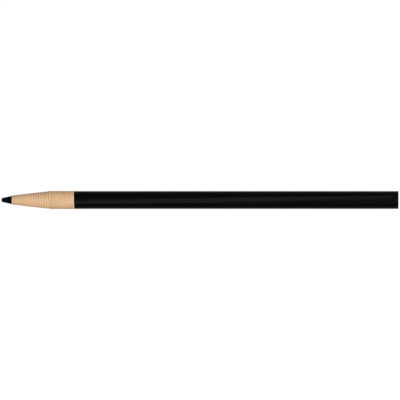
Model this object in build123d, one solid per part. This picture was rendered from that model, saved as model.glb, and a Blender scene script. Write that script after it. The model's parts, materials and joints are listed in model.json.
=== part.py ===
"""Peel-off china marker: a wax core wound in plies of paper, with a front coil that is peeled off to bare more wax.

The marker lies along X on the plane Z = 0 with its tip towards -X and the origin under its middle.
Outlines are written as (x, r) points: x along the marker from the tip, r out from its axis.
Plies are counted from 0 at the core, and the cover sheet comes after the last.
"""

import os
from math import ceil, cos, radians, sin

from build123d import *

# Driving sizes, in millimetres and degrees
OVERALL_LENGTH = 177.0  # blunt tip to flat rear end
CORE_DIAMETER = 3.7  # wax core
TIP_DIAMETER = 1.75  # flat of the blunt writing tip
TIP_BEVEL = 0.25  # worn bevel round that flat
TIP_LENGTH = 4.5  # bare wax cone ahead of the paper
PAPER_THICKNESS = 0.11  # one ply with its glue
PLY_COUNT = 18  # plies from the core to the cover sheet
COVER_THICKNESS = 0.165  # cover sheet with its glue, a heavier paper
LIP_PLIES = 2  # innermost plies, which end together in the front lip
STEP_LENGTH = 0.98  # how far each ply stops short of the one under it
PEEL_LENGTH = 11.2  # length of barrel that the front coil covers
STRING_DIAMETER = 0.4  # pull string
STRING_ANGLE = -30.0  # the string's place round the axis, from +Y towards +Z

# Fits
GLUE_LINE = 0.02  # radial, between core and paper and between plies
NEST_GAP = 0.03  # radial, between the front coil and the ply ends under it
SCORE_WIDTH = 0.05  # axial, of the cut behind the front coil
STRING_GAP = 0.05  # on both sides of the string in its slot


def ply_radius(ply):
    """Inside radius of a ply."""
    return CORE_DIAMETER / 2 + ply * PAPER_THICKNESS


def ply_front(ply):
    """Distance from the tip to the front edge of a ply."""
    return TIP_LENGTH + max(0, ply - LIP_PLIES + 1) * STEP_LENGTH


bore_radius = ply_radius(0) + GLUE_LINE
barrel_radius = ply_radius(PLY_COUNT) + COVER_THICKNESS
barrel_start = ply_front(PLY_COUNT)

tip_x = -OVERALL_LENGTH / 2
profile_plane = Plane(origin=(tip_x, 0, barrel_radius), x_dir=(1, 0, 0), z_dir=(0, -1, 0))
marker_axis = Axis((tip_x, 0, barrel_radius), (1, 0, 0))

# The string lies under the cover sheet and takes the place of some plies along its line
string_width = STRING_DIAMETER + 2 * STRING_GAP
first_slit = PLY_COUNT - ceil(string_width / PAPER_THICKNESS)
slot_floor = ply_radius(first_slit)
slot_roof = ply_radius(PLY_COUNT)
string_seat = (slot_floor + slot_roof) / 2
string_out = (0, cos(radians(STRING_ANGLE)), sin(radians(STRING_ANGLE)))
string_plane = Plane(
    origin=(tip_x, string_seat * string_out[1], barrel_radius + string_seat * string_out[2]),
    x_dir=string_out,
    z_dir=(1, 0, 0),
)


def turned(points):
    """Solid of revolution about the marker's axis from a closed outline."""
    outline = profile_plane * Polyline(*points, close=True)
    return revolve(make_face(outline), axis=marker_axis)


def ply_steps(shift, gap):
    """Treads of the stair that the ply edges make, from the lip to the cover sheet."""
    points = []
    for ply in range(LIP_PLIES, PLY_COUNT + 1):
        tread_radius = ply_radius(ply) + gap
        points.append((shift + ply_front(ply - 1), tread_radius))
        points.append((shift + ply_front(ply), tread_radius))
    return points


def wax_core():
    """Rod with a long cone to a blunt, bevelled tip."""
    rod = turned(
        [
            (0, 0),
            (0, TIP_DIAMETER / 2),
            (TIP_LENGTH, ply_radius(0)),
            (OVERALL_LENGTH, ply_radius(0)),
            (OVERALL_LENGTH, 0),
        ]
    )
    tip_edge = rod.edges().filter_by(GeomType.CIRCLE).sort_by(Axis.X)[0]
    return chamfer(tip_edge, min(TIP_BEVEL, 0.45 * TIP_DIAMETER))


def pull_string():
    """Straight thread whose front end is cut flush with the paper cone."""
    thread = extrude(string_plane * Circle(STRING_DIAMETER / 2), OVERALL_LENGTH)
    cone = [(ply_front(first_slit - 1), slot_floor), (ply_front(PLY_COUNT - 1), slot_roof)]
    return thread & turned(cone + [(OVERALL_LENGTH, slot_roof), (OVERALL_LENGTH, slot_floor)])


def string_slot():
    """Slot along the whole marker, through the plies that give way to the string."""
    height = slot_roof - slot_floor + GLUE_LINE
    return extrude(string_plane * Rectangle(height, string_width), OVERALL_LENGTH)


def front_coil():
    """First peel length, one wound strip: its ply edges are steps in front and behind, and the string runs through."""
    rear = PEEL_LENGTH - SCORE_WIDTH
    front_steps = [(TIP_LENGTH, bore_radius)] + ply_steps(0, 0)
    outside = [(barrel_start, barrel_radius), (barrel_start + rear, barrel_radius)]
    rear_steps = ply_steps(rear, NEST_GAP)[::-1] + [(TIP_LENGTH + rear, bore_radius)]
    return turned(front_steps + outside + rear_steps) - string_slot()


def wrap_tube(ply, outside):
    """One layer of the wrap behind the front coil."""
    start = ply_front(ply) + PEEL_LENGTH
    inside = ply_radius(ply) + GLUE_LINE
    return turned([(start, inside), (start, outside), (OVERALL_LENGTH, outside), (OVERALL_LENGTH, inside)])


def build():
    """All pieces of the marker, by node name."""
    pieces = {"wax_core": wax_core(), "pull_string": pull_string(), "front_coil": front_coil()}
    slot = string_slot()
    for ply in range(PLY_COUNT):
        tube = wrap_tube(ply, ply_radius(ply + 1))
        pieces[f"paper_ply_{ply + 1:02d}"] = tube - slot if ply >= first_slit else tube
    pieces["jacket"] = wrap_tube(PLY_COUNT, barrel_radius)
    return pieces


os.makedirs("parts", exist_ok=True)
for name, piece in build().items():
    export_step(piece, f"parts/{name}.step")
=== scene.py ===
# Peel-off china marker: wound paper, wax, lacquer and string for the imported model.
# It lies on a white sweep and is seen from straight above, tip to the left.
import json
import math

import bmesh
import bpy
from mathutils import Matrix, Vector, noise


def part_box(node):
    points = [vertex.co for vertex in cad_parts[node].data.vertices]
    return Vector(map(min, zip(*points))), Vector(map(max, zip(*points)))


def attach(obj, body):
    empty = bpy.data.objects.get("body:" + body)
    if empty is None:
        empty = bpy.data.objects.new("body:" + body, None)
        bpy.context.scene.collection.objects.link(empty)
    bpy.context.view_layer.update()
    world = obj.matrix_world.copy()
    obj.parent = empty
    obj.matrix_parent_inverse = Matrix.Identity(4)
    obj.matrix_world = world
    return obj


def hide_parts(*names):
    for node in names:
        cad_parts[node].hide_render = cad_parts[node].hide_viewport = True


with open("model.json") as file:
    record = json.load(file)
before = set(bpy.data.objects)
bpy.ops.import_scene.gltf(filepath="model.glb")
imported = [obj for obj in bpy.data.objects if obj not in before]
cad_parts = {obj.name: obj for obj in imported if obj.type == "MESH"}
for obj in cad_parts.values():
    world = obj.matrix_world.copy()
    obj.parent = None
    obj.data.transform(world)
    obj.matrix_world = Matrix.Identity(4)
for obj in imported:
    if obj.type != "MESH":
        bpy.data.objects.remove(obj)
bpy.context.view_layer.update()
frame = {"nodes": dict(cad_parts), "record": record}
mm = 0.001
fullTurn = 2 * math.pi

# What the frame says about the marker

barrelMount = next(m for m in frame["record"]["mounts"] if m["name"] == "barrel")
axisZ = barrelMount["pos_m"][2]
barrelRadius = barrelMount["dims"]["r_mm"] * mm
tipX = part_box("wax_core")[0].x


def nodeReach(name):
    # front and rear are measured from the tip, inner and outer from the axis
    low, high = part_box(name)
    away = [math.hypot(v.co.y, v.co.z - axisZ) for v in frame["nodes"][name].data.vertices]
    return {"front": low.x - tipX, "rear": high.x - tipX, "inner": min(away), "outer": max(away)}


plyNames = sorted(n for n in frame["nodes"] if n.startswith("paper_ply_"))
plies = [nodeReach(n) for n in plyNames]
core = nodeReach("wax_core")
coil = nodeReach("front_coil")
jacket = nodeReach("jacket")

coreRadius = core["outer"]
glueLine = plies[0]["inner"] - coreRadius
plyThickness = plies[1]["outer"] - plies[0]["outer"]
stepLength = plies[-1]["front"] - plies[-2]["front"]
peelLength = plies[0]["front"] - coil["front"]
plyCount = len(plies)
lipPlies = sum(1 for p in plies if p["front"] - plies[0]["front"] < stepLength / 2)

stringLow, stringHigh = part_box("pull_string")
stringMiddle = (stringLow + stringHigh) / 2
stringSeat = math.hypot(stringMiddle.y, stringMiddle.z - axisZ)
stringAngle = math.atan2(stringMiddle.z - axisZ, stringMiddle.y)
stringRadius = (stringHigh.y - stringLow.y) / 2
slitPlies = sum(1 for p in plies if p["outer"] > stringSeat - stringRadius)  # plies that make room for it
firstSlit = plyCount - slitPlies
print("frame read:", len(frame["nodes"]), "nodes,", plyCount, "plies,", slitPlies, "of them slit")

# The wound sheet. A turn count of 3.25 is a quarter of the way round the fourth ply,
# and every turn starts at the string.

windingSet = {
    "ease": 0.15,  # how much closer the ply edges follow each other near the lip than at the barrel
    "straight": 0.16,  # in turns, what the first edge is out of its helix to run straight
    "straightAt": 0.888,  # in turns up the cone, the middle of that stretch
    "straightReach": 0.5,  # and how far it goes to each side
    "middle": 0.5,  # half way through its turn the sheet lies where its ply does
    "drift": 0.37,  # how far an uneven value moves on in one turn
}
coneTurns = plyCount - lipPlies + 1


def limited(value, low=0.0, high=1.0):
    return min(max(value, low), high)


def spread(first, last, count):
    return [first + (last - first) * i / count for i in range(count + 1)]


def eased(turns):
    return turns + windingSet["ease"] * turns * (turns / coneTurns - 1)


def woundRadius(turn):
    return coreRadius + plyThickness * limited(turn - windingSet["middle"], 0, plyCount)


def edgeFront(turn):
    climb = max(turn - lipPlies + windingSet["middle"], 0)
    away = climb - windingSet["straightAt"]
    if abs(away) < windingSet["straightReach"]:
        climb -= windingSet["straight"] * math.sin(fullTurn * away)
    return coil["front"] + stepLength * eased(climb)


def onMarker(along, radius, turn):
    angle = stringAngle + fullTurn * turn
    return Vector((tipX + along, radius * math.cos(angle), axisZ + radius * math.sin(angle)))


def unevenAt(turn, pace, height):
    # a smooth value from -1 to 1 that changes round the marker, and with the height
    angle = fullTurn * turn
    return noise.noise(Vector((math.cos(angle) * pace, math.sin(angle) * pace, height)))


def wander(turn, pace, seed):
    return unevenAt(turn, pace, seed + turn * windingSet["drift"])


def dipped(depth, uneven):
    # from 0 to depth as the uneven value goes from -1 to 1
    return depth * (1 + uneven) / 2


# Mesh helpers. A shape is a set of lists: points, their shades, faces, and the material number of each face.

meshSet = {
    "weld": 0.0005 * mm,  # points closer than this become one
    "crease": 32,  # degrees, from which an edge is shaded sharp
}


def meshPiece(name, shape, materials, crease=meshSet["crease"]):
    verts, shades, faces, finishes = shape
    mesh = bpy.data.meshes.new(name)
    mesh.from_pydata(verts, [], faces)
    if any(shades):
        layer = mesh.attributes.new("plyShade", "FLOAT", "POINT")
        layer.data.foreach_set("value", shades)
    for material in materials:
        mesh.materials.append(material)
    mesh.polygons.foreach_set("material_index", finishes)
    bm = bmesh.new()
    bm.from_mesh(mesh)
    bmesh.ops.remove_doubles(bm, verts=bm.verts, dist=meshSet["weld"])
    bmesh.ops.dissolve_degenerate(bm, edges=bm.edges, dist=meshSet["weld"])
    bmesh.ops.recalc_face_normals(bm, faces=bm.faces)
    bm.to_mesh(mesh)
    bm.free()
    mesh.shade_smooth()
    mesh.set_sharp_from_angle(angle=math.radians(crease))
    piece = bpy.data.objects.new(name, mesh)
    bpy.context.scene.collection.objects.link(piece)
    return piece


def rowFaces(rowCount, size, closed=False):
    # quads between rows of points, with a cap at both ends unless the last row joins the first
    faces = []
    for i in range(rowCount if closed else rowCount - 1):
        here, there = i * size, (i + 1) % rowCount * size
        for k in range(size):
            after = (k + 1) % size
            faces.append((here + k, here + after, there + after, there + k))
    if not closed:
        last = (rowCount - 1) * size
        faces.append(tuple(range(size)))
        faces.append(tuple(range(last + size - 1, last - 1, -1)))
    return faces


def point(along, radius, shade=0.0, finish=0):
    # of an outline; a shade above 0 is brown, partly glue and partly painted shade, below 0 pale, partly
    # fuzz and partly painted highlight
    return along, radius, shade, finish


def sweptOutline(turns, outline, closed=False):
    # outline(turn) lists as many points at every turn
    rows = [outline(turn) for turn in turns]
    verts, shades = [], []
    for turn, row in zip(turns, rows):
        for along, radius, shade, _ in row:
            verts.append(onMarker(along, radius, turn))
            shades.append(shade)
    faces = rowFaces(len(rows), len(rows[0]), closed)
    finishes = [finish for row in (rows if closed else rows[:-1]) for *_, finish in row]
    finishes += [0] * (len(faces) - len(finishes))  # the caps
    return verts, shades, faces, finishes


def joinShapes(shapes):
    verts, shades, faces, finishes = [], [], [], []
    for moreVerts, moreShades, moreFaces, moreFinishes in shapes:
        start = len(verts)
        verts += moreVerts
        shades += moreShades
        faces += [tuple(start + i for i in face) for face in moreFaces]
        finishes += moreFinishes
    return verts, shades, faces, finishes


# Node helpers


def newMaterial(name):
    material = bpy.data.materials.new(name)
    material.use_nodes = True
    tree = material.node_tree
    tree.nodes.clear()
    return material, tree


def addNode(tree, kind, setup=None, **sockets):
    # a socket goes by its name with _ for a space, or by its number as i0, i1 and so on
    made = tree.nodes.new(kind)
    for key, value in (setup or {}).items():
        setattr(made, key, value)
    for key, value in sockets.items():
        numbered = key[0] == "i" and key[1:].isdigit()
        socket = made.inputs[int(key[1:]) if numbered else key.replace("_", " ")]
        if isinstance(value, bpy.types.NodeSocket):
            tree.links.new(value, socket)
        else:
            socket.default_value = value
    return made


def calc(tree, operation, first, second=0.0, third=0.0):
    made = addNode(tree, "ShaderNodeMath", {"operation": operation}, i0=first, i1=second, i2=third)
    return made.outputs[0]


def summed(tree, *parts):
    # each part is a value and its share
    total = 0.0
    for value, share in parts:
        total = calc(tree, "MULTIPLY_ADD", value, share, total)
    return total


def stretched(tree, scale, detail, roughness, distortion=0.0, offset=(0, 0, 0)):
    # noise in the piece's own metres, with its own scale along each axis
    where = addNode(tree, "ShaderNodeTexCoord").outputs["Object"]
    mapped = addNode(tree, "ShaderNodeMapping", Vector=where, Scale=scale, Location=offset).outputs[0]
    made = addNode(tree, "ShaderNodeTexNoise", Vector=mapped, Scale=1.0, Detail=detail,
                   Roughness=roughness, Distortion=distortion)
    return made.outputs["Fac"]


def ranged(tree, value, span, to=(0.0, 1.0)):
    made = addNode(tree, "ShaderNodeMapRange", {"interpolation_type": "SMOOTHSTEP"}, Value=value,
                   From_Min=span[0], From_Max=span[1], To_Min=to[0], To_Max=to[1])
    return made.outputs[0]


def blendColour(tree, amount, first, second):
    # a Mix node has its colours at inputs 6 and 7, and its mixed colour at output 2
    first, second = (c if isinstance(c, bpy.types.NodeSocket) else (*c, 1.0) for c in (first, second))
    return addNode(tree, "ShaderNodeMix", {"data_type": "RGBA"}, i0=amount, i6=first, i7=second).outputs[2]


def bumped(tree, height, distance, strength=1.0, below=None):
    made = addNode(tree, "ShaderNodeBump", Height=height, Distance=distance, Strength=strength)
    if below is not None:
        tree.links.new(below, made.inputs["Normal"])
    return made.outputs[0]


def alongNode(tree):
    # distance from the tip, in metres
    where = addNode(tree, "ShaderNodeTexCoord").outputs["Object"]
    x = addNode(tree, "ShaderNodeSeparateXYZ", Vector=where).outputs[0]
    return calc(tree, "SUBTRACT", x, tipX)


def finishMaterial(tree, **sockets):
    shader = addNode(tree, "ShaderNodeBsdfPrincipled", **sockets)
    addNode(tree, "ShaderNodeOutputMaterial", Surface=shader.outputs[0])


# Kraft paper, sanded to a cone in front

kraftSet = {
    "colour": (0.665, 0.41, 0.22),
    "lighter": (0.81, 0.535, 0.315),
    "glueAndShadeBrown": (0.30, 0.155, 0.072),
    "pale": (0.85, 0.67, 0.54),
    "sanded": (0.85, 0.545, 0.325),  # fresher paper where the cone was sanded
    "streaks": {"scale": (5200, 260, 260), "detail": 4.0, "roughness": 0.6},  # round the marker
    "streakShare": 0.54,
    "blotches": {"scale": (130, 190, 190), "detail": 3.0, "roughness": 0.5, "distortion": 0.4,
                 "offset": (3, 1, 7)},
    "blotchShare": 0.32,
    "bands": {"scale": (1300, 60, 60), "detail": 2.0, "roughness": 0.5, "offset": (2, 6, 4)},
    "bandShare": 0.14,
    "toneRange": (0.38, 0.62),
    "fibres": {"scale": (2600, 2100, 2100), "detail": 6.0, "roughness": 0.7, "distortion": 1.2},
    "fleckRange": (0.58, 0.74),
    "fleckDepth": 0.32,
    "sandedStretch": 0.6,  # share of the cone in which the sanded colour comes up
    "sandedShare": (0.1, 0.7),  # at the lip, and behind that stretch
    "lipPale": 0.63 * mm,  # length of the pale stretch at the lip
    "cutPale": 0.7 * mm,  # and of the one beside the cut
    "cutPaleShare": 0.75,
    "footRange": (0.25, 0.6),  # streaks break up the brown at the foot of an edge
    "footLeast": 0.65,
    "footDepth": 0.95,
    "fuzzAndHighlightDepth": 0.45,
    "bump": 0.018 * mm,
    "fibreStrength": 0.9,
    "roughness": 0.82,
    "specular": 0.22,
}


def kraftPaper(name, lipAt, cutAt=None):
    material, tree = newMaterial(name)
    streaks = stretched(tree, **kraftSet["streaks"])
    blotches = stretched(tree, **kraftSet["blotches"])
    bands = stretched(tree, **kraftSet["bands"])
    fibres = stretched(tree, **kraftSet["fibres"])
    tone = summed(tree, (streaks, kraftSet["streakShare"]), (blotches, kraftSet["blotchShare"]),
                  (bands, kraftSet["bandShare"]))
    tint = ranged(tree, tone, kraftSet["toneRange"])
    colour = blendColour(tree, tint, kraftSet["colour"], kraftSet["lighter"])
    flecks = ranged(tree, fibres, kraftSet["fleckRange"], (0.0, kraftSet["fleckDepth"]))
    colour = blendColour(tree, flecks, colour, kraftSet["glueAndShadeBrown"])

    # fresher on the sanded cone, pale at the lip and beside the cut
    along = alongNode(tree)
    coneLength = coneTurns * stepLength
    shoulder = lipAt + coneLength
    sandedEnd = lipAt + kraftSet["sandedStretch"] * coneLength
    sanded = ranged(tree, along, (lipAt, sandedEnd), kraftSet["sandedShare"])
    onCone = ranged(tree, along, (shoulder - stepLength, shoulder + stepLength), (1.0, 0.0))
    colour = blendColour(tree, calc(tree, "MULTIPLY", sanded, onCone), colour, kraftSet["sanded"])
    atLip = ranged(tree, along, (lipAt, lipAt + kraftSet["lipPale"]), (1.0, 0.0))
    colour = blendColour(tree, atLip, colour, kraftSet["pale"])
    if cutAt is not None:
        atCut = ranged(tree, along, (cutAt - kraftSet["cutPale"], cutAt), (0.0, kraftSet["cutPaleShare"]))
        colour = blendColour(tree, atCut, colour, kraftSet["pale"])

    # brown at the foot of each ply edge, partly glue and partly painted shade in the step's corner; pale on
    # the edge itself, partly fuzz and partly painted highlight
    shade = addNode(tree, "ShaderNodeAttribute", {"attribute_name": "plyShade"}).outputs["Fac"]
    brokenUp = ranged(tree, streaks, kraftSet["footRange"], (kraftSet["footLeast"], 1.0))
    foot = calc(tree, "MULTIPLY", calc(tree, "MAXIMUM", shade, 0.0), brokenUp)
    foot = calc(tree, "MULTIPLY", foot, kraftSet["footDepth"])
    colour = blendColour(tree, foot, colour, kraftSet["glueAndShadeBrown"])
    fuzzAndHighlight = calc(tree, "MAXIMUM", calc(tree, "MULTIPLY", shade, -1.0), 0.0)
    fuzzAndHighlight = calc(tree, "MULTIPLY", fuzzAndHighlight, kraftSet["fuzzAndHighlightDepth"])
    colour = blendColour(tree, fuzzAndHighlight, colour, kraftSet["pale"])
    normal = bumped(tree, streaks, kraftSet["bump"])
    normal = bumped(tree, fibres, kraftSet["bump"], kraftSet["fibreStrength"], normal)
    finishMaterial(tree, Base_Color=colour, Normal=normal, Roughness=kraftSet["roughness"],
                   Specular_IOR_Level=kraftSet["specular"])
    return material


# Black lacquer over the cover sheet

lacquerSet = {
    "colour": (0.0004, 0.0004, 0.0003),
    "faded": (0.0009, 0.0009, 0.0008),
    "wornBrown": (0.11, 0.062, 0.033),
    "clouds": {"scale": (60, 140, 140), "detail": 3.0, "roughness": 0.5, "offset": (5, 2, 0)},
    "cloudRange": (0.35, 0.65),
    "cloudShare": 0.6,  # of the roughness
    "drawn": {"scale": (70, 1500, 1500), "detail": 3.0, "roughness": 0.6},  # faint lines along the barrel
    "drawnShare": 0.4,
    "roughRange": (0.35, 0.65),
    "roughness": (0.13, 0.20),
    "edgeWear": 0.22 * mm,
    "chips": {"scale": (2500, 1800, 1800), "detail": 4.0, "roughness": 0.7},
    "chipRange": (0.52, 0.66),
    "chipDepth": 0.8,
    "peel": {"scale": (900, 900, 900), "detail": 2.0, "roughness": 0.5},
    "peelBump": 0.004 * mm,
    "drawnBump": 0.0025 * mm,
    "drawnStrength": 0.7,
    "specular": 0.025,
}


def blackLacquer(frontAt, rearAt):
    material, tree = newMaterial("blackLacquer")
    clouds = stretched(tree, **lacquerSet["clouds"])
    drawn = stretched(tree, **lacquerSet["drawn"])
    peel = stretched(tree, **lacquerSet["peel"])
    cloudy = ranged(tree, clouds, lacquerSet["cloudRange"])
    colour = blendColour(tree, cloudy, lacquerSet["colour"], lacquerSet["faded"])

    # chipped to the paper along both ends
    along = alongNode(tree)
    nearFront = ranged(tree, along, (frontAt, frontAt + lacquerSet["edgeWear"]), (1.0, 0.0))
    nearRear = ranged(tree, along, (rearAt - lacquerSet["edgeWear"], rearAt))
    chips = ranged(tree, stretched(tree, **lacquerSet["chips"]), lacquerSet["chipRange"])
    worn = calc(tree, "MULTIPLY", calc(tree, "MAXIMUM", nearFront, nearRear), chips)
    worn = calc(tree, "MULTIPLY", worn, lacquerSet["chipDepth"])
    colour = blendColour(tree, worn, colour, lacquerSet["wornBrown"])

    rough = summed(tree, (clouds, lacquerSet["cloudShare"]), (drawn, lacquerSet["drawnShare"]))
    rough = ranged(tree, rough, lacquerSet["roughRange"], lacquerSet["roughness"])
    normal = bumped(tree, peel, lacquerSet["peelBump"])
    normal = bumped(tree, drawn, lacquerSet["drawnBump"], lacquerSet["drawnStrength"], normal)
    finishMaterial(tree, Base_Color=colour, Normal=normal, Roughness=rough,
                   Specular_IOR_Level=lacquerSet["specular"])
    return material


# Black wax

waxSet = {
    "colour": (0.0008, 0.0008, 0.0008),
    "smeared": (0.0030, 0.0031, 0.0033),
    "worn": (0.016, 0.016, 0.017),  # scratched grey of the flat, partly wear and partly a painted sheen
    "scrapes": {"scale": (6500, 420, 420), "detail": 4.0, "roughness": 0.65, "distortion": 0.3},
    "smearRange": (0.5, 0.72),
    "wearAndSheenDepth": (0.075 * mm, 0.25 * mm),  # from the tip, where the grey fades
    "scratches": {"scale": (400, 900, 7000), "detail": 4.0, "roughness": 0.65, "distortion": 0.6},
    "scratchRange": (0.40, 0.66),
    "grain": {"scale": (1500, 1500, 1500), "detail": 5.0, "roughness": 0.6},
    "grainRange": (0.3, 0.7),
    "roughness": (0.36, 0.58),
    "scrapeBump": 0.02 * mm,
    "grainBump": 0.01 * mm,
    "grainStrength": 0.6,
    "specular": 0.015,
}


def blackWax():
    material, tree = newMaterial("blackWax")
    scrapes = stretched(tree, **waxSet["scrapes"])
    grain = stretched(tree, **waxSet["grain"])
    smears = ranged(tree, scrapes, waxSet["smearRange"])
    colour = blendColour(tree, smears, waxSet["colour"], waxSet["smeared"])
    # the worn flat greys: scratches, and a painted sheen where it is rubbed smooth
    onFlat = ranged(tree, alongNode(tree), waxSet["wearAndSheenDepth"], (1.0, 0.0))
    scratches = ranged(tree, stretched(tree, **waxSet["scratches"]), waxSet["scratchRange"])
    colour = blendColour(tree, calc(tree, "MULTIPLY", onFlat, scratches), colour, waxSet["worn"])
    rough = ranged(tree, grain, waxSet["grainRange"], waxSet["roughness"])
    normal = bumped(tree, scrapes, waxSet["scrapeBump"])
    normal = bumped(tree, grain, waxSet["grainBump"], waxSet["grainStrength"], normal)
    finishMaterial(tree, Base_Color=colour, Normal=normal, Roughness=rough,
                   Specular_IOR_Level=waxSet["specular"])
    return material


# Cotton pull string

cottonSet = {
    "colour": (0.87, 0.85, 0.79),
    "shadow": (0.66, 0.61, 0.52),
    "lint": {"scale": (5200, 9000, 9000), "detail": 4.0, "roughness": 0.6, "distortion": 0.8},
    "lintRange": (0.35, 0.65),
    "bump": 0.02 * mm,
    "roughness": 0.9,
    "specular": 0.15,
    "sheen": 0.3,
}


def cottonThread():
    material, tree = newMaterial("cottonThread")
    lint = stretched(tree, **cottonSet["lint"])
    linty = ranged(tree, lint, cottonSet["lintRange"])
    colour = blendColour(tree, linty, cottonSet["shadow"], cottonSet["colour"])
    finishMaterial(tree, Base_Color=colour, Normal=bumped(tree, lint, cottonSet["bump"]),
                   Roughness=cottonSet["roughness"], Specular_IOR_Level=cottonSet["specular"],
                   Sheen_Weight=cottonSet["sheen"])
    return material


kraftFront = kraftPaper("kraftFront", coil["front"], jacket["front"])
kraftWound = kraftPaper("kraftWound", plies[0]["front"])
lacquer = blackLacquer(jacket["front"], core["rear"])
wax = blackWax()
cotton = cottonThread()
print("materials made")

# The cut behind the front coil runs a little out of square

cutSet = {
    "lean": 0.20 * mm,  # half of what the cut leans over the thickness of the barrel
    "leanTurn": 0.264,  # where round the barrel it reaches furthest forward
    "ahead": 0.10 * mm,
    "uneven": 0.02 * mm,
    "pace": 2.2,
    "seed": 4.0,
    "width": 0.05 * mm,
}


def cutAlong(turn):
    lean = cutSet["lean"] * (1 - math.cos(fullTurn * (turn - cutSet["leanTurn"])))
    uneven = dipped(cutSet["uneven"], wander(turn, cutSet["pace"], cutSet["seed"]))
    return jacket["front"] - cutSet["ahead"] + lean + uneven


# The marker's far and near side as it lies


def farSide(turn):
    # 1 on the far side, -1 on the near side
    return math.cos(stringAngle + fullTurn * turn)


def sideShare(turn, pair, low=0.0):
    # the pair is the share on top and its rise towards the far side
    onTop, rise = pair
    return limited(onTop + rise * farSide(turn), low)


# Plies: ragged in front, with brown at their feet, partly glue and partly painted shade in the corner of
# each step

plySet = {
    "turnSteps": 192,
    "edgeRound": 0.022 * mm,
    "ragged": 0.05 * mm,
    "raggedWaves": ((3.1, 0.6), (9.0, 0.4), (17.0, 0.5)),  # pace and share of each
    "raggedSeeds": 20,  # from one wave's seed to the next
    "fuzzAndHighlightWidth": 0.20 * mm,
    "footWidth": 0.36 * mm,
    "smeared": 0.25,  # how much of the brown foot shows where sanding smears it
    "footLean": 0.38,  # and how much more of it on the far side, less on the near side: painted shade on the side away from the lamps
    "firstFade": 0.5,  # what each turn takes from the foot of the first edge
    "paintedFarShade": 0.21,  # painted shade: brown on the far side, away from the lamps
    "paintedFarShadeSide": (0.3, 1.2),
    "slotRoom": 0.05 * mm,  # on each side of the string
    "rearUneven": 0.03 * mm,
    "rearPace": 1.5,
    "rearSeed": 30.0,
}
sandingSet = {
    "taken": 0.12 * mm,  # off every front edge
    "thinFrom": (1.2, 2.0),  # from the first of these turns to the second the edges get thin
    "thinTo": 9.9,  # behind this one they are blunt again
    "thinLean": 2.0,  # later on the far side, earlier on the near side
    "thinSide": (0.6, 3.0),
    "fade": 0.8,  # in turns, from thin to blunt
    "edge": 0.015 * mm,  # thickness left of a thin edge
}
slotTurn = math.asin((stringRadius + plySet["slotRoom"]) / stringSeat) / fullTurn


def ragged(turn, seed=0.0):
    total = 0.0
    for number, (pace, share) in enumerate(plySet["raggedWaves"]):
        total += share * wander(turn, pace, seed + number * plySet["raggedSeeds"])
    return plySet["ragged"] * total


def thinShare(turn):
    start, full = sandingSet["thinFrom"]
    stop = sandingSet["thinTo"] + sandingSet["thinLean"] * sideShare(turn, sandingSet["thinSide"], -1.0)
    return limited(min((turn - start) / (full - start), (stop - turn) / sandingSet["fade"]))


def footShare(turn):
    # full on the first edge behind the lip and under the cover sheet, faint where edges are thin
    if turn >= plyCount:
        return 1.0
    first = max(0.0, 1 - plySet["firstFade"] * max(0.0, turn - lipPlies - 1))
    # more brown on the far side: painted shade away from the lamps
    blunt = (1 - thinShare(turn)) * (1 + plySet["footLean"] * farSide(turn))
    return max(first, plySet["smeared"] + (1 - plySet["smeared"]) * blunt)


def plyOutline(turn, front, covered, rear, thin=0.0, paintedFarShade=0.0):
    # front edge rounded over or sanded thin, brown at the foot where the next ply covers it, partly glue and
    # partly painted shade
    inside, outside = woundRadius(turn) + glueLine, woundRadius(turn + 1)
    rounded = front + plySet["edgeRound"]
    fuzzAndHighlightEnd = rounded + plySet["fuzzAndHighlightWidth"]
    footStart = max(fuzzAndHighlightEnd, covered - plySet["footWidth"])
    footEnd = max(footStart, covered)
    sandedDepth = thin * (outside - inside - sandingSet["edge"])

    def surface(along):
        return outside - sandedDepth * (footEnd - along) / (footEnd - front)

    lowest = outside - sandedDepth - plySet["edgeRound"] * (1 - thin)
    return [
        point(front, inside, 1.0),
        point(front, lowest, -footShare(turn)),
        point(rounded, surface(rounded), -footShare(turn)),
        point(fuzzAndHighlightEnd, surface(fuzzAndHighlightEnd), paintedFarShade),
        point(footStart, surface(footStart), paintedFarShade),
        point(footEnd, outside, footShare(turn + 1)),
        point(rear, outside),
        point(rear, inside),
    ]


def bandTurns(first, last):
    return spread(first, last, round((last - first) * plySet["turnSteps"]))


def slitEnds(ply):
    # the plies at the string's height stop short of it on both sides
    room = slotTurn if ply >= firstSlit else 0.0
    return ply + room, ply + 1 - room


# Front coil: its cover sheet has two sanding marks behind the cone and a faint score ahead of the cut, both
# browned with painted shade that grows with their depth

coverSet = {
    "back": 0.10 * mm,  # how much further back than its turn the sheet starts
    "lean": 0.28 * mm,  # and how much more of that on the near side
    "nearSide": (0.4, -1.2),
    "pale": 0.22 * mm,  # pale stretch on its edge there: a painted highlight where it faces the lamps
    "paleLoss": 0.5,  # of the fuzz and painted highlight there
    "seamGap": 0.005 * mm,  # half of the butt seam
}
grooveSet = {
    "turns": (1, 2),  # behind the cover sheet's front, one step further each
    "depths": (0.035 * mm, 0.022 * mm),
    "before": 0.18 * mm,
    "behind": 0.09 * mm,
    "share": 0.75,  # of the depth, on the far side
    "nearMore": 0.3,
    "varies": 0.5,
    "pace": 2.0,
    "seed": 11.0,
    "lineSeed": 7.0,
    "brown": 0.8,
}
scoreSet = {
    "before": 0.75 * mm,  # ahead of the cut
    "width": 0.06 * mm,
    "depth": 0.03 * mm,
    "middleTurn": 0.45,
    "reach": 0.14,  # in turns, to each side
    "fade": 0.07,  # in turns, at each end
}
seamTurn = coverSet["seamGap"] / barrelRadius / fullTurn
stripLength = peelLength - cutSet["width"]


def coverFront(turn):
    back = coverSet["back"] + coverSet["lean"] * sideShare(turn, coverSet["nearSide"])
    return edgeFront(turn) + sandingSet["taken"] + back


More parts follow.
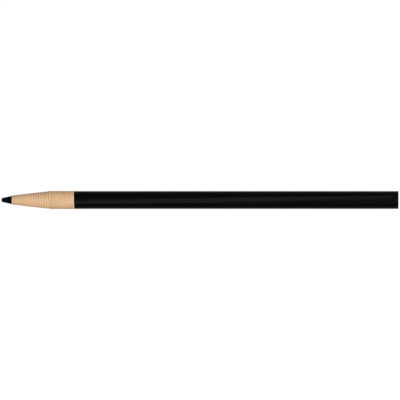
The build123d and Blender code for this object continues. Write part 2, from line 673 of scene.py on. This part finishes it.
def coilOutline(turn):
    underCover = turn >= plyCount - 1
    covered = coverFront(turn + 1) if underCover else edgeFront(turn + 1) + sandingSet["taken"]
    front = edgeFront(turn) + sandingSet["taken"] + ragged(turn)
    # painted shade: the treads on the far side, away from the lamps, are browned
    paintedFarShade = plySet["paintedFarShade"] * sideShare(turn, plySet["paintedFarShadeSide"])
    return plyOutline(turn, front, covered, edgeFront(turn) + stripLength, thinShare(turn), paintedFarShade)


def notched(along, before, behind, depth, shade):
    return [
        point(along - before, barrelRadius),
        point(along, barrelRadius - depth, shade),
        point(along + behind, barrelRadius),
    ]


def coverGroove(turn, further, depth, near):
    along = edgeFront(turn + further) + sandingSet["taken"] + ragged(turn, grooveSet["lineSeed"])
    varied = grooveSet["varies"] * wander(turn, grooveSet["pace"], grooveSet["seed"] + further)
    share = grooveSet["share"] + grooveSet["nearMore"] * near + varied
    # the brown grows with the groove's depth: painted shade in the groove
    brown = grooveSet["brown"] * share * depth / grooveSet["depths"][0]
    return notched(along, grooveSet["before"], grooveSet["behind"], depth * share, brown)


def coverScore(turn, rear):
    away = abs(math.remainder(turn - scoreSet["middleTurn"], 1.0))  # the shorter way round
    share = limited((scoreSet["reach"] - away) / scoreSet["fade"])
    width = scoreSet["width"]
    # the score's brown grows with its depth: painted shade in the score
    return notched(rear - scoreSet["before"], width, width, scoreSet["depth"] * share, share)


def coverOutline(turn):
    near = sideShare(turn, coverSet["nearSide"])
    front = coverFront(turn) + ragged(turn)
    rear = cutAlong(turn) - cutSet["width"]
    rounded = front + plySet["edgeRound"]
    # the near side's edge gets a wider pale stretch: painted highlight
    highlightEnd = rounded + coverSet["pale"] * near
    fuzzAndHighlight = coverSet["paleLoss"] * near - 1.0
    points = [
        point(front, jacket["inner"], 1.0),
        point(front, barrelRadius - plySet["edgeRound"], fuzzAndHighlight),
        point(rounded, barrelRadius, fuzzAndHighlight),
        point(highlightEnd, barrelRadius, fuzzAndHighlight),
        point(highlightEnd + plySet["fuzzAndHighlightWidth"], barrelRadius),
    ]
    for further, depth in zip(grooveSet["turns"], grooveSet["depths"]):
        points += coverGroove(turn, further, depth, near)
    points += coverScore(turn, rear)
    return points + [point(rear, barrelRadius), point(rear, jacket["inner"])]


# the inner turns are one winding, the outer ones stop at the string
coilShapes = [sweptOutline(bandTurns(0, firstSlit), coilOutline)]
for ply in range(firstSlit, plyCount):
    coilShapes.append(sweptOutline(bandTurns(*slitEnds(ply)), coilOutline))
coilShapes.append(sweptOutline(bandTurns(plyCount + seamTurn, plyCount + 1 - seamTurn), coverOutline))
frontCoil = meshPiece("front_coil_winding", joinShapes(coilShapes), [kraftFront])
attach(frontCoil, "peel_coil")
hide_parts("front_coil")
print("front coil:", len(frontCoil.data.polygons), "faces")

# Plies behind it, one turn each


def barrelOutline(turn):
    front = edgeFront(turn) + peelLength + max(0.0, ragged(turn))
    uneven = dipped(plySet["rearUneven"], wander(turn, plySet["rearPace"], plySet["rearSeed"]))
    return plyOutline(turn, front, edgeFront(turn + 1) + peelLength, core["rear"] - uneven)


for ply in range(plyCount):
    shape = sweptOutline(bandTurns(*slitEnds(ply)), barrelOutline)
    piece = meshPiece(f"ply_turn_{ply + 1:02d}", shape, [kraftWound])
    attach(piece, "marker")
    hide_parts(plyNames[ply])
print("plies wound:", plyCount)

# Jacket: lacquered outside, bare paper where it is cut

jacketSet = {
    "frontRound": 0.03 * mm,
    "rearRound": 0.10 * mm,
    "lengthSteps": 36,
    "sides": 192,
    "waviness": 0.016 * mm,
    "waveLength": 22 * mm,
    "wavePace": 1.0,  # round the barrel
    "seamWidth": 0.05 * mm,  # to each side of the seam, where the lacquer dips
    "seamDepth": 0.018 * mm,
}
seamReach = jacketSet["seamWidth"] / barrelRadius / fullTurn
jacketTurns = spread(plyCount + seamReach, plyCount + 1 - seamReach, jacketSet["sides"]) + [plyCount + 1]
barePaper = 1  # its number among the jacket's materials


def jacketOutline(turn):
    front, rear = cutAlong(turn), jacket["rear"]
    start, stop = front + jacketSet["frontRound"], rear - jacketSet["rearRound"]
    seamDip = jacketSet["seamDepth"] if turn == jacketTurns[-1] else 0.0
    points = [
        point(front, jacket["inner"], finish=barePaper),
        point(front, barrelRadius - jacketSet["frontRound"] - seamDip),
    ]
    for along in spread(start, stop, jacketSet["lengthSteps"]):
        uneven = unevenAt(turn, jacketSet["wavePace"], along / jacketSet["waveLength"])
        points.append(point(along, barrelRadius - dipped(jacketSet["waviness"], uneven) - seamDip))
    bend = jacketSet["rearRound"] * (1 - math.sqrt(0.5))  # half way round the rear edge
    points.append(point(rear - bend, barrelRadius - bend))
    points.append(point(rear, barrelRadius - jacketSet["rearRound"], finish=barePaper))
    points.append(point(rear, jacket["inner"], finish=barePaper))
    return points


jacketShape = sweptOutline(jacketTurns, jacketOutline, True)
jacketSheet = meshPiece("jacket_sheet", jacketShape, [lacquer, kraftWound])
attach(jacketSheet, "marker")
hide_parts("jacket")
print("jacket:", len(jacketSheet.data.polygons), "faces")

# Wax core with a worn, blunt tip

tipSet = {
    "flatRadius": 0.77 * mm,
    "shoulderRadius": 0.90 * mm,
    "shoulder": 0.15 * mm,
    "flatSteps": 5,
    "shoulderSteps": 6,
    "coneSteps": 34,
    "sides": 120,
    "wornTilt": 0.05,  # slope of the worn flat
    "wornTowards": 1.0,  # in radians, the side that is worn most
    "flatTilt": 0.8,  # how much of the slope the inner flat has
    "middle": 0.0225 * mm,  # how far back the middle of the flat is
    "dented": 0.05 * mm,  # in the flat, where it has been used
    "dentPace": 2.4,
    "dentSeed": 8.0,
    "scraped": 0.022 * mm,
    "scrapePace": 0.9,
    "scrapeLength": mm / 4.5,
}
rodSet = {
    "mouth": 0.2 * mm,  # behind the lip, where the rod has its full radius
    "scrapedFrom": 0.5 * mm,  # behind the lip
    "scrapedTo": 2.0 * mm,  # behind the front of the first ply
    "scrapeSteps": 30,
    "scraped": 0.008 * mm,
    "scrapePace": 1.0,
    "scrapeLength": mm / 1.6,
    "rearBevel": (0.08 * mm, 0.06 * mm),  # along and across
}


def tipOutline(turn):
    flat, wide, deep = tipSet["flatRadius"], tipSet["shoulderRadius"], tipSet["shoulder"]
    tilt = tipSet["wornTilt"] * (1 + math.cos(fullTurn * turn - tipSet["wornTowards"]))
    points = [point(tipSet["middle"], 0.0)]
    for share in spread(0, 1, tipSet["flatSteps"])[1:-1]:
        dent = dipped(tipSet["dented"], unevenAt(turn, share * tipSet["dentPace"], tipSet["dentSeed"]))
        points.append(point(tilt * flat * tipSet["flatTilt"] * share + dent * (1 - share), flat * share))
    for share in spread(0, 1, tipSet["shoulderSteps"]):
        bend = fullTurn / 4 * share
        along = tilt * wide * (1 - share) + deep * (1 - math.cos(bend))
        points.append(point(along, flat + (wide - flat) * math.sin(bend)))
    slope = (coreRadius - wide) / (coil["front"] - deep)
    for along in spread(deep, coil["front"], tipSet["coneSteps"])[1:]:
        uneven = unevenAt(turn, tipSet["scrapePace"], along / tipSet["scrapeLength"])
        points.append(point(along, wide + slope * (along - deep) - dipped(tipSet["scraped"], -uneven)))
    return points


def coreOutline(turn):
    points = tipOutline(turn)
    points.append(point(coil["front"] + rodSet["mouth"], coreRadius))
    start, stop = coil["front"] + rodSet["scrapedFrom"], plies[0]["front"] + rodSet["scrapedTo"]
    for along in spread(start, stop, rodSet["scrapeSteps"]):
        uneven = unevenAt(turn, rodSet["scrapePace"], along / rodSet["scrapeLength"])
        points.append(point(along, coreRadius - rodSet["scraped"] * (1 - uneven)))
    bevelAlong, bevelAcross = rodSet["rearBevel"]
    points.append(point(core["rear"] - bevelAlong, coreRadius))
    points.append(point(core["rear"], coreRadius - bevelAcross))
    points.append(point(core["rear"], 0.0))
    return points


coreTurns = [i / tipSet["sides"] for i in range(tipSet["sides"])]
waxRod = meshPiece("wax_rod", sweptOutline(coreTurns, coreOutline, True), [wax])
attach(waxRod, "marker")
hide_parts("wax_core")
print("wax rod:", len(waxRod.data.polygons), "faces")

# Pull string: two strands laid together, cut off along the cone

stringSet = {
    "strands": 2,
    "lay": 1.5 * mm,  # length in which the strands go round each other once
    "stepsPerLay": 12,
    "strandSides": 8,
    "strandFill": 0.97,  # of the room that a strand has
    "rearShort": 0.01 * mm,
    "leastLays": 4,  # what is shorter is a loose sliver
    "crease": 60,
}
strandOffset = stringRadius / 2
strandRadius = stringSet["strandFill"] * stringRadius / 2
stringOut = Vector((0, math.cos(stringAngle), math.sin(stringAngle)))
stringAcross = Vector((0, -math.sin(stringAngle), math.cos(stringAngle)))


def roundString(angle, radius):
    return (stringOut * math.cos(angle) + stringAcross * math.sin(angle)) * radius


def stringStrand(number):
    front, rear = edgeFront(firstSlit - 1), core["rear"] - stringSet["rearShort"]
    count = round((rear - front) / stringSet["lay"] * stringSet["stepsPerLay"])
    sides = stringSet["strandSides"]
    seat = Vector((tipX, 0, axisZ)) + stringOut * stringSeat
    verts = []
    for along in spread(front, rear, count):
        twist = fullTurn * (along / stringSet["lay"] + number / stringSet["strands"])
        middle = seat + Vector((along, 0, 0)) + roundString(twist, strandOffset)
        for side in range(sides):
            verts.append(middle + roundString(fullTurn * side / sides + twist, strandRadius))
    faces = rowFaces(count + 1, sides)
    return verts, [0.0] * len(verts), faces, [0] * len(faces)


def coneSpot(ply):
    # in line with the string, the front of the ply under this one, at this one's inner radius
    return onMarker(edgeFront(ply - windingSet["middle"]), woundRadius(ply + windingSet["middle"]), 0)


def looseSlivers(bm):
    # what the slanting cut leaves of a strand without joining it to the rest
    slivers, seen = [], set()
    for first in bm.verts:
        if first in seen:
            continue
        island, waiting = [], [first]
        seen.add(first)
        while waiting:
            vert = waiting.pop()
            island.append(vert)
            for edge in vert.link_edges:
                other = edge.other_vert(vert)
                if other not in seen:
                    seen.add(other)
                    waiting.append(other)
        reach = max(v.co.x for v in island) - min(v.co.x for v in island)
        if reach < stringSet["leastLays"] * stringSet["lay"]:
            slivers += island
    return slivers


def cutOnCone(piece):
    bm = bmesh.new()
    bm.from_mesh(piece.data)
    coneRise = coneSpot(plyCount) - coneSpot(firstSlit)
    everything = bm.verts[:] + bm.edges[:] + bm.faces[:]
    cut = bmesh.ops.bisect_plane(bm, geom=everything, plane_co=coneSpot(firstSlit),
                                 plane_no=stringAcross.cross(coneRise), clear_outer=True)
    rim = [e for e in cut["geom_cut"] if isinstance(e, bmesh.types.BMEdge)]
    bmesh.ops.holes_fill(bm, edges=rim, sides=0)
    bmesh.ops.delete(bm, geom=looseSlivers(bm), context="VERTS")
    bm.to_mesh(piece.data)
    bm.free()


strands = joinShapes([stringStrand(n) for n in range(stringSet["strands"])])
pullString = meshPiece("pull_string_twine", strands, [cotton], stringSet["crease"])
cutOnCone(pullString)
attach(pullString, "marker")
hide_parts("pull_string")
print("pull string:", len(pullString.data.polygons), "faces")

# White sweep. The camera, reflections and see-through rays get its white; the rest of its light is plain.

sweepSet = {
    "size": 7.0,
    "below": 0.02 * mm,  # the marker's underside
    "white": 0.94,
    "shadowShare": 0.09,
    "bounce": 0.42,
}


def grey(level):
    return level, level, level, 1.0


def seesBackground(tree):
    path = addNode(tree, "ShaderNodeLightPath").outputs
    direct = calc(tree, "MAXIMUM", path["Is Camera Ray"], path["Is Transmission Ray"])
    return calc(tree, "MAXIMUM", direct, path["Is Glossy Ray"])


def mixShaders(tree, amount, first, second):
    return addNode(tree, "ShaderNodeMixShader", i0=amount, i1=first.outputs[0], i2=second.outputs[0])


def whiteSweep():
    material, tree = newMaterial("whiteSweep")
    paper = addNode(tree, "ShaderNodeBsdfDiffuse", Color=grey(sweepSet["bounce"]))
    lit = addNode(tree, "ShaderNodeBsdfDiffuse", Color=grey(sweepSet["shadowShare"]))
    glow = addNode(tree, "ShaderNodeEmission", Color=grey(1.0), Strength=sweepSet["white"])
    shown = addNode(tree, "ShaderNodeAddShader", i0=lit.outputs[0], i1=glow.outputs[0])
    mixed = mixShaders(tree, seesBackground(tree), paper, shown)
    under = addNode(tree, "ShaderNodeNewGeometry").outputs["Backfacing"]  # clear when seen from below
    sided = mixShaders(tree, under, mixed, addNode(tree, "ShaderNodeBsdfTransparent"))
    addNode(tree, "ShaderNodeOutputMaterial", Surface=sided.outputs[0])
    material.cycles.emission_sampling = "NONE"
    return material


half = sweepSet["size"] / 2
corners = [(-half, -half, 0), (half, -half, 0), (half, half, 0), (-half, half, 0)]
sweepMesh = bpy.data.meshes.new("sweep")
sweepMesh.from_pydata(corners, [], [(0, 1, 2, 3)])
sweepMesh.materials.append(whiteSweep())
sweep = bpy.data.objects.new("sweep", sweepMesh)
sweep.location.z = -sweepSet["below"]
bpy.context.scene.collection.objects.link(sweep)

roomSet = {"light": 0.10, "white": 1.0}
world = bpy.data.worlds.new("room")
world.use_nodes = True
worldTree = world.node_tree
worldTree.nodes.clear()
dim = addNode(worldTree, "ShaderNodeBackground", Color=grey(roomSet["light"]))
bright = addNode(worldTree, "ShaderNodeBackground", Color=grey(roomSet["white"]))
roomMix = mixShaders(worldTree, seesBackground(worldTree), dim, bright)
addNode(worldTree, "ShaderNodeOutputWorld", Surface=roomMix.outputs[0])
bpy.context.scene.world = world

# A soft lamp overhead, and a long strip set askew, whose sheen drifts across the lacquer

lampSet = {
    "softbox": {"watts": 15.7, "long": 2.0, "wide": 2.0, "height": 1.5, "place": (0, -0.28), "askew": 0.0},
    "strip": {"watts": 1.27, "long": 1.2, "wide": 0.085, "height": 0.30, "place": (0.008, 0), "askew": 74.0},
}
for name, settings in lampSet.items():
    lampData = bpy.data.lights.new(name, "AREA")
    lampData.shape = "RECTANGLE"
    lampData.size, lampData.size_y = settings["long"], settings["wide"]
    lampData.energy = settings["watts"]
    lamp = bpy.data.objects.new(name, lampData)
    lamp.location = (*settings["place"], axisZ + settings["height"])
    lamp.rotation_euler.z = math.radians(settings["askew"])
    bpy.context.scene.collection.objects.link(lamp)

# Long lens from straight above: +X to the right, +Y up

cameraSet = {
    "lens": 1000.0,
    "sensor": 36.0,
    "pictureWidth": 178.44 * mm,
    "middle": 0.016 * mm,
    "clip": (0.1, 20.0),
}
cameraData = bpy.data.cameras.new("camera")
cameraData.lens = cameraSet["lens"]
cameraData.sensor_width = cameraSet["sensor"]
cameraData.clip_start, cameraData.clip_end = cameraSet["clip"]
camera = bpy.data.objects.new("camera", cameraData)
cameraAway = cameraSet["pictureWidth"] * cameraSet["lens"] / cameraSet["sensor"]
camera.location = (cameraSet["middle"], 0, axisZ + cameraAway)
bpy.context.scene.collection.objects.link(camera)
bpy.context.scene.camera = camera
bpy.context.scene.view_settings.view_transform = "Standard"
print("stage, lamps and camera set")
